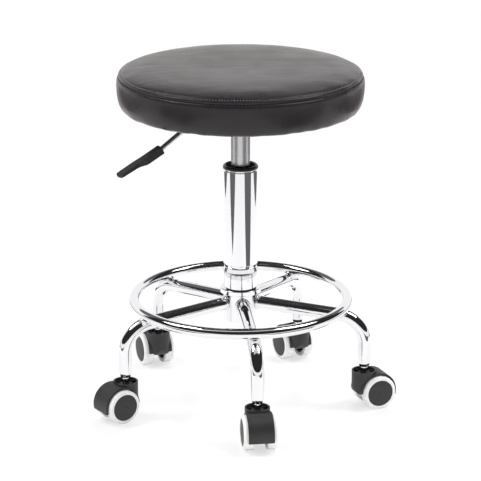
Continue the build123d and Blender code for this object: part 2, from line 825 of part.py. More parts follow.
def make_caster_hood():
    """Moulded hood: fender, shield, web, axle boss and ribbed swivel collar."""
    axle = Pos(caster_trail, 0, wheel_radius)
    inner = wheel_radius + hood_wheel_clearance
    outer = inner + hood_wall
    collar = hood_collar_diameter / 2
    half_width = hood_width / 2
    lathe = Rot(90, 0, 0)
    fender = extrude(hood_section(outer), half_width, both=True)
    rims = [edge for edge in fender.edges().filter_by(GeomType.CIRCLE) if edge.radius > inner]
    fender = axle * lathe * fillet(rims, hood_edge_round)
    shield = upright(collar, hood_shield_bottom, hood_collar_height)
    outline = Pos(0, hood_shield_bottom + collar) * Circle(collar)
    straight = hood_collar_height - hood_shield_bottom - collar
    outline += Pos(0, hood_collar_height) * Rectangle(2 * collar, 2 * straight)
    shield &= extrude(Plane.YZ * outline, 2 * collar, both=True)
    side = FilletPolyline(
        (-collar, hood_shield_bottom),
        (collar, hood_shield_bottom),
        (collar, hood_collar_height),
        (-collar, hood_collar_height),
        radius=[hood_front_round, 0, 0, 0],
        close=True,
    )
    shield &= extrude(Plane.XZ * make_face(side), hood_width, both=True)
    bay = crosswise(inner, hood_width)
    bay_offset = hood_web / 2 + half_width
    bays = axle * (Pos(0, bay_offset, 0) * bay + Pos(0, -bay_offset, 0) * bay)
    behind = Box(2 * collar, 2 * hood_width, 2 * hood_collar_height)
    shield -= axle * Pos(collar, 0, 0) * behind
    hood = fender + shield - bays
    tunnel = hood_boss_diameter / 2
    boss_top = hood_collar_height - hood_boss_drop
    pin_boss = upright(stem_pin_diameter / 2 + hood_wall, hood_shield_bottom + hood_wall, boss_top)
    axle_boss = axle * crosswise(wheel_boss_diameter / 2, wheel_gap - 2 * wheel_end_gap)
    hood = hood + pin_boss + axle_boss
    recess_bottom = hood_collar_height - hood_recess_depth
    recess = upright(collar - hood_recess_wall, recess_bottom, hood_collar_height + cut_over)
    recess -= upright(tunnel, recess_bottom - cut_over, boss_top)
    for index in range(hood_rib_count):
        rib = Box(collar, hood_rib_thickness, 2 * (hood_recess_depth - hood_rib_drop))
        recess -= Rot(0, 0, 360 / hood_rib_count * index) * Pos(collar / 2, 0, recess_bottom) * rib
    recess += upright(tunnel, boss_top, hood_collar_height + cut_over)
    hood -= recess
    pin_bore = stem_pin_diameter / 2 + running_gap
    pin_bottom = boss_top - stem_pin_length
    hood -= upright(pin_bore, pin_bottom, hood_collar_height + cut_over)
    return hood - axle * crosswise(axle_diameter / 2 + press_gap, hood_width)


def make_caster_axle():
    """Plain steel axle through the web."""
    return Pos(caster_trail, 0, wheel_radius) * crosswise(axle_diameter / 2, axle_length)


def wheel_place(side):
    """Place for a wheel drawn along +Z from the caster's middle outwards."""
    return Pos(caster_trail, 0, wheel_radius) * Rot(-90 * side, 0, 0)


def make_wheel():
    """Cup-shaped wheel centre with a domed disc, a boss, a rim and ribs."""
    rim = wheel_centre_radius
    boss = wheel_boss_diameter / 2
    bore = axle_diameter / 2 + running_gap
    face = wheel_outer_face - wheel_dome
    back = face - wheel_disc_thickness
    blind = axle_length / 2 + wheel_end_gap
    dome = TangentArc((0, wheel_outer_face), (rim, face), tangent=(1, 0))
    outline = Polyline(
        (rim, face),
        (rim, wheel_inner_face),
        (rim - wheel_rim_thickness, wheel_inner_face),
        (rim - wheel_rim_thickness, back),
        (boss, back),
        (boss, wheel_inner_face),
        (bore, wheel_inner_face),
        (bore, blind),
        (0, blind),
        (0, wheel_outer_face),
    )
    cup = revolve(Plane.XZ * make_face([dome, *outline.edges()]), Axis.Z)
    rib_bottom = wheel_inner_face + wheel_rib_inset
    span = rim - wheel_rim_thickness / 2 - (boss - bore) / 2 - bore
    rib_middle = bore + (boss - bore) / 2 + span / 2
    for index in range(wheel_rib_count):
        rib = Pos(rib_middle, 0, (rib_bottom + face) / 2 - wheel_disc_thickness / 4)
        rib = rib * Box(span, wheel_rib_thickness, face - rib_bottom - wheel_disc_thickness / 2)
        cup += Rot(0, 0, 360 / wheel_rib_count * index) * rib
    return cup


def make_tyre():
    """Smooth tread with a round outer shoulder."""
    bore = wheel_centre_radius + press_gap
    return turned(
        (bore, wheel_inner_face, 0),
        (wheel_radius, wheel_inner_face, tyre_inner_shoulder),
        (wheel_radius, wheel_outer_face, tyre_shoulder),
        (bore, wheel_outer_face, hub_edge / 2),
    )


def write(name, *solids):
    """Write one node as one STEP file."""
    shape = solids[0] if len(solids) == 1 else Compound(children=list(solids))
    export_step(shape, f"parts/{name}.step")


def main():
    os.makedirs("parts", exist_ok=True)
    write("hub", make_hub())
    for index, angle in enumerate(caster_angles, start=1):
        write(f"leg_{index}", make_leg(angle))
    write("foot_ring", make_foot_ring())
    write("leg_sockets", *make_leg_sockets())
    write("caster_stems", *make_caster_stems())
    write("stand_tube", make_stand_tube())
    write("guide_bush", make_guide_bush())
    write("thrust_bearing", *make_thrust_bearing())
    write("piston_rod", make_piston_rod())
    write("piston", make_piston())
    write("rod_clip", make_rod_clip())
    write("bumper", make_bumper())
    write("pressure_cylinder", make_pressure_cylinder())
    write("valve_block", make_valve_block())
    write("rod_guide", make_rod_guide())
    write("release_pin", make_release_pin())
    write("seat_plate", make_seat_plate())
    write("seat_bolts", *make_seat_bolts())
    write("tee_nuts", *make_tee_nuts())
    write("seat_board", make_seat_board())
    write("foam_pad", make_foam_pad())
    top_panel, side_band = make_cover()
    write("seat_top_panel", top_panel)
    write("seat_side_band", side_band)
    write("lever_rod", make_lever_rod())
    write("lever_handle", make_lever_handle())
    write("lever_pin", make_lever_pin())
    hood = make_caster_hood()
    axle = make_caster_axle()
    wheel = make_wheel()
    tyre = make_tyre()
    for index in range(leg_count):
        place = caster_place(index)
        write(f"caster_hood_{index + 1}", place * hood)
        write(f"caster_axle_{index + 1}", place * axle)
        for name, side in (("left", -1), ("right", 1)):
            write(f"wheel_{index + 1}_{name}", place * wheel_place(side) * wheel)
            write(f"tyre_{index + 1}_{name}", place * wheel_place(side) * tyre)


main()
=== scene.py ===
import json
import math

import bmesh
import bpy
import numpy as np
from mathutils import Matrix, Vector, noise
from mathutils.bvhtree import BVHTree


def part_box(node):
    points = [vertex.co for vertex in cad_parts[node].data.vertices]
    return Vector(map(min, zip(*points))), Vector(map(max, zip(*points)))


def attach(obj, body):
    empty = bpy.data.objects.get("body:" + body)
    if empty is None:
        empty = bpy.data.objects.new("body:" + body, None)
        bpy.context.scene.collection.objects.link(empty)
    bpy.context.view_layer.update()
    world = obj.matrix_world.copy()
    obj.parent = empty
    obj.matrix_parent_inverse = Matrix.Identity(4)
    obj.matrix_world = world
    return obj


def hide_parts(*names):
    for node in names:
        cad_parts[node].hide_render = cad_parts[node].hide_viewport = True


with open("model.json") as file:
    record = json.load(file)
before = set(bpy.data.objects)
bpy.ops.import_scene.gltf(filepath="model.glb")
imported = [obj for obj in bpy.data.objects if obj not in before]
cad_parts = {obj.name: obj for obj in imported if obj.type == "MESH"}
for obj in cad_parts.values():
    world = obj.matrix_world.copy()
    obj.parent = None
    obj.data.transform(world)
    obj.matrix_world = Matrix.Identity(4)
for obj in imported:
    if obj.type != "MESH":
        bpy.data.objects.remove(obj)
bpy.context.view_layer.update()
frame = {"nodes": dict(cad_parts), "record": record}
nodes = frame["nodes"]
MM = 0.001

# Camera, worked out from the stool's outlines: angles in degrees, distance and height in metres
camera_azimuth = -7.387
camera_distance = 3.26592
camera_height = 1.27245
camera_pitch = 17.475
camera_focal_pixels = 2347.2
photo_pixels = 481
sensor_width = 36.0

# Seat cover, in metres: radius and height along its half section, from the
# edge under the board, round the foot, up the side band and over the crown
under_height = 0.4443
seat_top = 0.5061
under_edge = [(0.1385, under_height), (0.1500, under_height), (0.1610, under_height)]
side_band = [
    (0.1660, 0.4449), (0.1700, 0.4472), (0.1727, 0.4510), (0.1751, 0.4575),
    (0.1767, 0.4660), (0.1774, 0.4750), (0.1772, 0.4850),
]
seam_point = (0.1760, 0.4920)
crown = [
    (0.1741, 0.4948), (0.1711, 0.4976), (0.1650, 0.4999), (0.1560, 0.5018), (0.1450, 0.5035),
    (0.1300, 0.5049), (0.1000, 0.5059), (0.0600, seat_top), (0.0300, seat_top), (0.0005, seat_top),
]
vinyl_thickness = 1.1 * MM
lowest_vinyl = 0.4436
middle_hole = 10 * MM

# Rings of points in the cover: close at the seam and its stitches, wider beyond
seat_segments = 400
close_rings = 0.4 * MM
side_rings = 1.5 * MM
shoulder_rings = 1.6 * MM
crown_rings = 4 * MM
near_seam = 11 * MM
shoulder_end = 30 * MM

# Seam, the raised welt above it, and the stitched row in its channel
seam_depth = 3.3 * MM
seam_half_width = 1.1 * MM
welt_height = 0.6 * MM
welt_half_width = 2.2 * MM
stitch_channel_depth = 1.9 * MM
stitch_channel_half_width = 0.8 * MM
stitch_row_offset = 7.5 * MM
stitch_pitch = 4.2 * MM
stitch_length = 2.6 * MM
stitch_rise = 1.4 * MM
seam_stitch_pitch = 1.1 * stitch_pitch
seam_stitch_length = 1.6 * MM
seam_stitch_rise = 2.3 * MM
thread_radius = 0.5 * MM
thread_sunk = 0.6 * thread_radius
thread_end_share = 0.55
thread_sides = 6
thread_sections = 7

# Unevenness of the vinyl: how deep, how far it reaches, and its waves round
# the seat, from the fewest up to one less than the second number
foot_pucker = 0.9 * MM
foot_pucker_reach = 9 * MM
foot_pucker_waves = (14, 46)
foot_patch_waves = (1, 9)
foot_patch_least = 0.35
side_wave = 0.3 * MM
side_wave_height = 14 * MM
side_wave_reach = 14 * MM
side_waves = (7, 22)
seam_wave = 0.45 * MM
seam_wave_reach = 16 * MM
seam_waves = (7, 26)
crown_wave = 0.35 * MM
crown_wave_along_x = 110 * MM
crown_wave_along_y = 35 * MM
crown_wave_slice = 0.3
crown_wave_fade = 30 * MM
crown_wave_first_ring = 12

# Foam pad that is pressed out against the cover
pad_inset = 2.5 * MM
pad_least_radius = 1 * MM
pad_segments = 160
pad_voxel = 5.0 * MM
pad_held_below = 0.448
pad_held_radius = 0.16
pad_pressure = 4.0
pad_frames = 20
pad_swell_cap = 2.0 * MM
pad_share = 0.7
pad_ray_reach = 12 * MM
pad_fade_start = 0.4475
pad_fade_height = 4 * MM

# Staples under the seat: they drift by a share of their spacing, and sit askew by radians
staple_count = 44
staple_radius = 145 * MM
staple_crown = 10 * MM
staple_wire = 0.7 * MM
staple_width = 1.6 * staple_wire
staple_sunk = staple_wire / 4
staple_rounding = 0.2 * staple_wire
staple_drift = 0.2
staple_wander = 2 * MM
staple_askew = 0.25

# Collar round the top of the column, in millimetres: radius, and height from the tube's end
collar_section = [
    (23.5, -4.6), (25.1, -4.6), (25.6, -4.2), (25.8, -3.4), (25.6, -2.3), (25.2, -1.2),
    (24.7, -0.5), (23.9, 0.15), (22.9, 0.45), (22.0, 0.1), (21.6, -0.6), (23.0, -1.2),
]
collar_segments = 144
collar_rings = 0.3 * MM
same_point = 0.01 * MM

# Studio, in metres
floor_size = (14, 14)
floor_flag_height = 0.004
ceiling_height = 3.4
overhead_height = 3.3
wall_distance = 4.6
wall_height = 2.05
wall_panel_size = (2.7, 2.7)
wall_azimuths = range(-105, 120, 30)
lamp_face_size = (1.1, 1.5)


def linear(hex_colour):
    """Linear RGBA of an sRGB hex colour."""
    channels = [int(hex_colour[i:i + 2], 16) / 255 for i in (1, 3, 5)]
    return [c / 12.92 if c <= 0.04045 else ((c + 0.055) / 1.055) ** 2.4 for c in channels] + [1.0]


def add(tree, kind, values=None, links=None, **settings):
    """Add one node with its settings, input values and links."""
    node = tree.nodes.new(kind)
    for name, value in settings.items():
        setattr(node, name, value)
    for name, value in (values or {}).items():
        node.inputs[name].default_value = value
    for name, source in (links or {}).items():
        tree.links.new(source, node.inputs[name])
    return node


def new_material(name, hex_colour, values):
    """Material with one Principled shader; returns it, its tree, its shader and object coordinates."""
    material = bpy.data.materials.new(name)
    material.use_nodes = True
    material.diffuse_color = linear(hex_colour)
    tree = material.node_tree
    shader = tree.nodes["Principled BSDF"]
    shader.inputs["Base Color"].default_value = linear(hex_colour)
    for socket, value in values.items():
        shader.inputs[socket].default_value = value
    return material, tree, shader, add(tree, "ShaderNodeTexCoord").outputs["Object"]


def bare_material(name):
    """Material with an empty tree; returns both."""
    material = bpy.data.materials.new(name)
    material.use_nodes = True
    material.node_tree.nodes.clear()
    return material, material.node_tree


def new_piece(name, mesh, material, smooth=True):
    """Object of one mesh and one material, put into the scene."""
    for polygon in mesh.polygons:
        polygon.use_smooth = smooth
    mesh.materials.append(material)
    piece = bpy.data.objects.new(name, mesh)
    bpy.context.scene.collection.objects.link(piece)
    return piece


def per_metre(size_mm):
    """Texture scale that repeats about once in so many millimetres."""
    return 1000.0 / size_mm


# Materials

def chrome_plate():
    """Bright chrome on polished tube: a hard mirror with a faint haze of handling."""
    material, tree, shader, place = new_material("chrome_plate", "#EFEFF1", {"Metallic": 1.0})
    haze = add(
        tree, "ShaderNodeTexNoise",
        {"Scale": per_metre(26), "Detail": 4.0, "Roughness": 0.6}, {"Vector": place},
    )
    rough = add(
        tree, "ShaderNodeMapRange",
        {"From Min": 0.35, "From Max": 0.75, "To Min": 0.03, "To Max": 0.075}, {"Value": haze.outputs["Fac"]},
    )
    tree.links.new(rough.outputs["Result"], shader.inputs["Roughness"])
    # Polishing leaves the tube wavy over about a centimetre
    waves = add(tree, "ShaderNodeTexNoise", {"Scale": per_metre(14), "Detail": 1.0}, {"Vector": place})
    bump = add(
        tree, "ShaderNodeBump", {"Strength": 0.03, "Distance": 0.4 * MM}, {"Height": waves.outputs["Fac"]},
    )
    tree.links.new(bump.outputs["Normal"], shader.inputs["Normal"])
    return material


def ground_steel():
    """Centreless-ground steel tube: satin grey with fine rings round it."""
    material, tree, shader, place = new_material("ground_steel", "#CBCBCD", {"Metallic": 1.0})
    # Real grinding marks are about 0.1 mm apart; they are drawn at 1.2 mm to show
    stretch = add(
        tree, "ShaderNodeMapping",
        {"Scale": (per_metre(40), per_metre(40), per_metre(1.2))}, {"Vector": place},
    )
    rings = add(
        tree, "ShaderNodeTexNoise", {"Scale": 1.0, "Detail": 3.0}, {"Vector": stretch.outputs["Vector"]},
    )
    rough = add(tree, "ShaderNodeMapRange", {"To Min": 0.22, "To Max": 0.38}, {"Value": rings.outputs["Fac"]})
    tree.links.new(rough.outputs["Result"], shader.inputs["Roughness"])
    bump = add(
        tree, "ShaderNodeBump", {"Strength": 0.08, "Distance": 0.2 * MM}, {"Height": rings.outputs["Fac"]},
    )
    tree.links.new(bump.outputs["Normal"], shader.inputs["Normal"])
    return material


def zinc_steel():
    """Zinc-plated steel of bolts, pins and axles: soft sheen with grey crystals."""
    material, tree, shader, place = new_material("zinc_steel", "#B4B6BA", {"Metallic": 1.0})
    # Real crystals are finer; they are drawn at 2 mm to show
    crystals = add(tree, "ShaderNodeTexVoronoi", {"Scale": per_metre(2.0)}, {"Vector": place})
    tint = add(tree, "ShaderNodeValToRGB", None, {"Fac": crystals.outputs["Distance"]})
    tint.color_ramp.elements[0].color = linear("#C2C4C8")
    tint.color_ramp.elements[1].color = linear("#A2A5AA")
    tree.links.new(tint.outputs["Color"], shader.inputs["Base Color"])
    rough = add(
        tree, "ShaderNodeMapRange", {"To Min": 0.26, "To Max": 0.42}, {"Value": crystals.outputs["Distance"]},
    )
    tree.links.new(rough.outputs["Result"], shader.inputs["Roughness"])
    return material


def machined_aluminium():
    """Turned aluminium of the valve block and piston: fine tool rings."""
    material, tree, shader, place = new_material(
        "machined_aluminium", "#C9CACC", {"Metallic": 1.0, "Roughness": 0.3},
    )
    # Real tool rings are finer; they are drawn at 0.8 mm to show
    stretch = add(
        tree, "ShaderNodeMapping",
        {"Scale": (per_metre(30), per_metre(30), per_metre(0.8))}, {"Vector": place},
    )
    rings = add(
        tree, "ShaderNodeTexNoise", {"Scale": 1.0, "Detail": 2.0}, {"Vector": stretch.outputs["Vector"]},
    )
    bump = add(
        tree, "ShaderNodeBump", {"Strength": 0.15, "Distance": 0.1 * MM}, {"Height": rings.outputs["Fac"]},
    )
    tree.links.new(bump.outputs["Normal"], shader.inputs["Normal"])
    return material


def black_vinyl():
    """Coated upholstery vinyl: near-black, satin, with a soft pebbled grain."""
    material, tree, shader, place = new_material("black_vinyl", "#262528", {
        "IOR": 1.41,
        "Specular Tint": linear("#FFF3F0"),
        "Sheen Weight": 0.11,
        "Sheen Roughness": 0.4,
        "Sheen Tint": linear("#E2C2B7"),
    })
    # Colour and gloss drift slowly, over about 45 mm
    broad = add(
        tree, "ShaderNodeTexNoise",
        {"Scale": per_metre(45), "Detail": 5.0, "Roughness": 0.55}, {"Vector": place},
    )
    tint = add(tree, "ShaderNodeValToRGB", None, {"Fac": broad.outputs["Fac"]})
    tint.color_ramp.elements[0].position = 0.3
    tint.color_ramp.elements[0].color = linear("#222124")
    tint.color_ramp.elements[1].position = 0.75
    tint.color_ramp.elements[1].color = linear("#2A292B")
    tree.links.new(tint.outputs["Color"], shader.inputs["Base Color"])
    rough = add(
        tree, "ShaderNodeMapRange",
        {"From Min": 0.3, "From Max": 0.7, "To Min": 0.25, "To Max": 0.34}, {"Value": broad.outputs["Fac"]},
    )
    tree.links.new(rough.outputs["Result"], shader.inputs["Roughness"])
    # Long soft streaks where the sheet was calendered, about 70 mm by 11 mm
    stretch = add(
        tree, "ShaderNodeMapping",
        {"Scale": (per_metre(70), per_metre(11), per_metre(40))}, {"Vector": place},
    )
    streaks = add(
        tree, "ShaderNodeTexNoise", {"Scale": 1.0, "Detail": 3.0}, {"Vector": stretch.outputs["Vector"]},
    )
    coarse = add(
        tree, "ShaderNodeBump", {"Strength": 0.25, "Distance": 1.2 * MM}, {"Height": streaks.outputs["Fac"]},
    )
    # Real grain is about 1 mm across; it is drawn at 3.4 mm to show
    pebbles = add(
        tree, "ShaderNodeTexVoronoi",
        {"Scale": per_metre(3.4), "Randomness": 0.9}, {"Vector": place}, feature="DISTANCE_TO_EDGE",
    )
    creases = add(tree, "ShaderNodeMapRange", {"From Max": 0.25}, {"Value": pebbles.outputs["Distance"]})
    fine = add(
        tree, "ShaderNodeBump", {"Strength": 0.09, "Distance": 0.25 * MM},
        {"Height": creases.outputs["Result"], "Normal": coarse.outputs["Normal"]},
    )
    tree.links.new(fine.outputs["Normal"], shader.inputs["Normal"])
    return material


def polyester_thread(name, dark, light):
    """Twisted upholstery thread with a little lustre; its plies go from dark to light, painted shade and
    painted highlight of the twist.
    """
    material, tree, shader, place = new_material(name, dark, {"Roughness": 0.38, "Sheen Weight": 0.4})
    # A diagonal wave repeats at about half its scale, so a ply crosses every half millimetre or so
    plies = add(
        tree, "ShaderNodeTexWave",
        {"Scale": per_metre(1.1), "Distortion": 1.5}, {"Vector": place}, bands_direction="DIAGONAL",
    )
    # The ramp paints each ply dark where it turns into shade and light where it catches a highlight
    tint = add(tree, "ShaderNodeValToRGB", None, {"Fac": plies.outputs["Fac"]})
    tint.color_ramp.elements[0].color = linear(dark)
    tint.color_ramp.elements[1].color = linear(light)
    tree.links.new(tint.outputs["Color"], shader.inputs["Base Color"])
    return material


def moulded_nylon(name, dark, light, smoothest, roughest):
    """Black nylon from a spark-eroded mould: even, fine, matt or satin texture."""
    material, tree, shader, place = new_material(name, dark, {"IOR": 1.53})
    broad = add(tree, "ShaderNodeTexNoise", {"Scale": per_metre(20), "Detail": 3.0}, {"Vector": place})
    tint = add(tree, "ShaderNodeValToRGB", None, {"Fac": broad.outputs["Fac"]})
    tint.color_ramp.elements[0].color = linear(dark)
    tint.color_ramp.elements[1].color = linear(light)
    tree.links.new(tint.outputs["Color"], shader.inputs["Base Color"])
    # Real texture is about 0.15 mm; it is drawn at 1.1 mm to show
    grit = add(tree, "ShaderNodeTexNoise", {"Scale": per_metre(1.1), "Detail": 3.0}, {"Vector": place})
    rough = add(
        tree, "ShaderNodeMapRange", {"To Min": smoothest, "To Max": roughest}, {"Value": grit.outputs["Fac"]},
    )
    tree.links.new(rough.outputs["Result"], shader.inputs["Roughness"])
    bump = add(
        tree, "ShaderNodeBump", {"Strength": 0.22, "Distance": 0.15 * MM}, {"Height": grit.outputs["Fac"]},
    )
    tree.links.new(bump.outputs["Normal"], shader.inputs["Normal"])
    return material


def white_polyurethane():
    """White polyurethane tread: smooth and slightly glossy, faintly scuffed."""
    material, tree, shader, place = new_material("white_polyurethane", "#EFEFED", {"IOR": 1.5})
    scuffs = add(
        tree, "ShaderNodeTexNoise",
        {"Scale": per_metre(7), "Detail": 5.0, "Roughness": 0.65}, {"Vector": place},
    )
    tint = add(tree, "ShaderNodeValToRGB", None, {"Fac": scuffs.outputs["Fac"]})
    tint.color_ramp.elements[0].position = 0.25
    tint.color_ramp.elements[0].color = linear("#E4E4E1")
    tint.color_ramp.elements[1].position = 0.5
    tint.color_ramp.elements[1].color = linear("#F3F3F1")
    tree.links.new(tint.outputs["Color"], shader.inputs["Base Color"])
    rough = add(
        tree, "ShaderNodeMapRange", {"To Min": 0.25, "To Max": 0.45}, {"Value": scuffs.outputs["Fac"]},
    )
    tree.links.new(rough.outputs["Result"], shader.inputs["Roughness"])
    return material


def black_rubber():
    """Moulded rubber of the bumper: dull, with a dusty bloom."""
    material, tree, shader, place = new_material("black_rubber", "#1F1F20", {"Roughness": 0.8})
    bloom = add(tree, "ShaderNodeTexNoise", {"Scale": per_metre(5), "Detail": 4.0}, {"Vector": place})
    tint = add(tree, "ShaderNodeValToRGB", None, {"Fac": bloom.outputs["Fac"]})
    tint.color_ramp.elements[0].color = linear("#1A1A1B")
    tint.color_ramp.elements[1].color = linear("#2C2C2D")
    tree.links.new(tint.outputs["Color"], shader.inputs["Base Color"])
    return material


def powder_coat():
    """Black powder coat on pressed steel: satin with orange peel."""
    material, tree, shader, place = new_material("powder_coat", "#1B1B1C", {"Roughness": 0.4})
    peel = add(tree, "ShaderNodeTexNoise", {"Scale": per_metre(1.8), "Detail": 1.0}, {"Vector": place})
    rough = add(tree, "ShaderNodeMapRange", {"To Min": 0.34, "To Max": 0.5}, {"Value": peel.outputs["Fac"]})
    tree.links.new(rough.outputs["Result"], shader.inputs["Roughness"])
    bump = add(
        tree, "ShaderNodeBump", {"Strength": 0.25, "Distance": 0.2 * MM}, {"Height": peel.outputs["Fac"]},
    )
    tree.links.new(bump.outputs["Normal"], shader.inputs["Normal"])
    return material


def stained_plywood():
    """Birch plywood stained black: the long grain still shows as faint bands."""
    material, tree, shader, place = new_material("stained_plywood", "#1A1816", {"Roughness": 0.55})
    stretch = add(
        tree, "ShaderNodeMapping",
        {"Scale": (per_metre(90), per_metre(4), per_metre(1.4))}, {"Vector": place},
    )
    grain = add(
        tree, "ShaderNodeTexNoise",
        {"Scale": 1.0, "Detail": 5.0, "Distortion": 0.4}, {"Vector": stretch.outputs["Vector"]},
    )
    tint = add(tree, "ShaderNodeValToRGB", None, {"Fac": grain.outputs["Fac"]})
    tint.color_ramp.elements[0].position = 0.3
    tint.color_ramp.elements[0].color = linear("#131211")
    tint.color_ramp.elements[1].position = 0.7
    tint.color_ramp.elements[1].color = linear("#2B2723")
    tree.links.new(tint.outputs["Color"], shader.inputs["Base Color"])
    bump = add(
        tree, "ShaderNodeBump", {"Strength": 0.2, "Distance": 0.3 * MM}, {"Height": grain.outputs["Fac"]},
    )
    tree.links.new(bump.outputs["Normal"], shader.inputs["Normal"])
    return material


chrome = chrome_plate()
steel = ground_steel()
zinc = zinc_steel()
aluminium = machined_aluminium()
vinyl = black_vinyl()
# Both rows are one real thread: the topstitch copy is painted lighter, a painted highlight, and the seam copy
# painted darker, a painted shade in the seam
thread = polyester_thread("polyester_thread", "#6E6C70", "#A3A1A5")
shaded_thread = polyester_thread("shaded_polyester_thread", "#2A292C", "#4B494D")
nylon = moulded_nylon("moulded_nylon", "#242325", "#302F31", 0.42, 0.62)
# Same nylon as the hoods with a smoother satin finish; its darker tone is painted shade
shaded_satin_nylon = moulded_nylon("shaded_satin_nylon", "#1B1A1C", "#252426", 0.24, 0.36)
tread = white_polyurethane()
rubber = black_rubber()
enamel = powder_coat()
plywood = stained_plywood()

slot_finish = {
    "chrome": chrome,
    "bright_steel": zinc,
    "valve_alloy": aluminium,
    "black_enamel": enamel,
    "black_nylon": nylon,
    "white_tread": tread,
    "black_rubber": rubber,
    "black_vinyl": vinyl,
    "foam": vinyl,
    "plywood": plywood,
}
node_finish = {"pressure_cylinder": steel, "piston_rod": steel, "lever_handle": shaded_satin_nylon}
for subpart in frame["record"]["subparts"]:
    node = nodes[subpart["node"]]
    material = node_finish.get(subpart["node"], slot_finish[subpart["material_slot"]])
    node.data.materials.clear()
    node.data.materials.append(material)


# Lines and turned meshes

def smooth_line(points, spacing):
    """Points along a smooth curve through the given ones, about a spacing apart."""
    points = [np.array(p) for p in points]
    padded = [2 * points[0] - points[1], *points, 2 * points[-1] - points[-2]]
    line = [points[0]]
    for before, start, end, after in zip(padded, padded[1:], padded[2:], padded[3:]):
        slope = end - before
        bend = 2 * before - 5 * start + 4 * end - after
        twist = 3 * start - before - 3 * end + after
        steps = max(1, round(np.linalg.norm(end - start) / spacing))
        for step in range(1, steps + 1):
            t = step / steps
            line.append(0.5 * (2 * start + slope * t + bend * t ** 2 + twist * t ** 3))
    return np.array(line)


def distance_along(line):
    """Distance of each point from the start of its line."""
    return np.concatenate([[0], np.cumsum(np.linalg.norm(np.diff(line, axis=0), axis=1))])


def at_distances(line, wanted):
    """Points of a line at the wanted distances along it."""
    along = distance_along(line)
    return np.stack([np.interp(wanted, along, column) for column in line.T], axis=1)


def turned(section, angles):
    """Rows of radius and height, turned round Z to every angle."""
    radius = section[:, None, 0]
    height = np.repeat(section[:, 1:], len(angles), axis=1)
    return np.stack([radius * np.cos(angles), radius * np.sin(angles), height], axis=-1)


def lathe_mesh(name, section, segments):
    """Mesh of a section turned round Z, with the section's two ends left open."""
    mesh = bpy.data.meshes.new(name)
    angles = np.linspace(0, 2 * math.pi, segments, endpoint=False)
    points = turned(section, angles)
    faces = []
    for ring in range(len(section) - 1):
        for step in range(segments):
            near = ring * segments + step
            far = ring * segments + (step + 1) % segments
            faces.append((near, far, far + segments, near + segments))
    mesh.from_pydata(points.reshape(-1, 3).tolist(), [], faces)
    return mesh, points, angles


# Upholstery

def seat_section():
    """Half section of the cover, each point's distance up from the seam, and the seam's row."""
    upper_line = smooth_line([seam_point, *crown], close_rings)
    upper_end = distance_along(upper_line)[-1]
    upper = np.concatenate([
        np.arange(0, near_seam, close_rings),
        np.arange(near_seam, shoulder_end, shoulder_rings),
        np.arange(shoulder_end, upper_end, crown_rings),
        [upper_end],
    ])
    lower_line = smooth_line([*under_edge, *side_band, seam_point], close_rings)
    lower_end = distance_along(lower_line)[-1]
    lower = np.concatenate([
        np.arange(0, lower_end - near_seam / 2, side_rings),
        np.arange(lower_end - near_seam / 2, lower_end, close_rings),
        [lower_end],
    ])
    section = np.concatenate([at_distances(lower_line, lower), at_distances(upper_line, upper)[1:]])
    from_seam = np.concatenate([lower - lower_end, upper[1:]])
    return section, from_seam, len(lower) - 1


def ripple(seed, waves, angles):
    """Irregular wave round the seat, from -1 to 1, made of a range of wave counts."""
    draw = np.random.default_rng(seed)
    total = np.zeros_like(angles)
    for count in range(*waves):
        total += draw.normal() * np.cos(count * angles + draw.uniform(0, 2 * math.pi))
    return total / np.abs(total).max()


def hump(distance, centre, reach):
    """Soft hump of height 1 round the centre, as one column."""
    return np.exp(-(((distance - centre) / reach) ** 2))[:, None]


def crease(distance, centre, half_width):
    """Sharp-bottomed crease of depth 1 at the centre, as one column."""
    return np.exp(-np.abs(distance - centre) / half_width)[:, None]


def swollen_pad(section):
    """Foam pad pressed out against its cover by cloth simulation; gives its surface."""
    inset = section.copy()
    inset[:, 0] = np.maximum(inset[:, 0] - pad_inset, pad_least_radius)
    inset[:, 1] = np.where(inset[:, 1] > seam_point[1], inset[:, 1] - pad_inset, inset[:, 1])
    mesh, _, _ = lathe_mesh("pad_blank", inset, pad_segments)
    fill = bmesh.new()
    fill.from_mesh(mesh)
    bmesh.ops.holes_fill(fill, edges=[e for e in fill.edges if e.is_boundary], sides=0)
    bmesh.ops.recalc_face_normals(fill, faces=fill.faces)
    fill.to_mesh(mesh)
    fill.free()
    pad = bpy.data.objects.new("pad_blank", mesh)
    bpy.context.scene.collection.objects.link(pad)
    remesh = pad.modifiers.new("even", "REMESH")
    remesh.mode = "VOXEL"
    remesh.voxel_size = pad_voxel
    graph = bpy.context.evaluated_depsgraph_get()
    even = bpy.data.meshes.new_from_object(pad.evaluated_get(graph))
    pad.modifiers.clear()
    pad.data = even
    held = pad.vertex_groups.new(name="held")
    for vertex in even.vertices:
        at_side = math.hypot(vertex.co.x, vertex.co.y) > pad_held_radius
        on_seam = at_side and abs(vertex.co.z - seam_point[1]) < pad_voxel
        if vertex.co.z < pad_held_below or on_seam:
            held.add([vertex.index], 1.0, "REPLACE")
    cloth = pad.modifiers.new("press", "CLOTH")
    cloth.settings.use_pressure = True
    cloth.settings.uniform_pressure_force = pad_pressure
    cloth.settings.vertex_group_mass = "held"
    cloth.settings.effector_weights.gravity = 0.0
    cloth.point_cache.frame_end = pad_frames
    for step in range(1, pad_frames + 1):
        bpy.context.scene.frame_set(step)
    graph = bpy.context.evaluated_depsgraph_get()
    surface = BVHTree.FromObject(pad, graph)
    bpy.context.scene.frame_set(1)
    bpy.data.objects.remove(pad)
    return surface


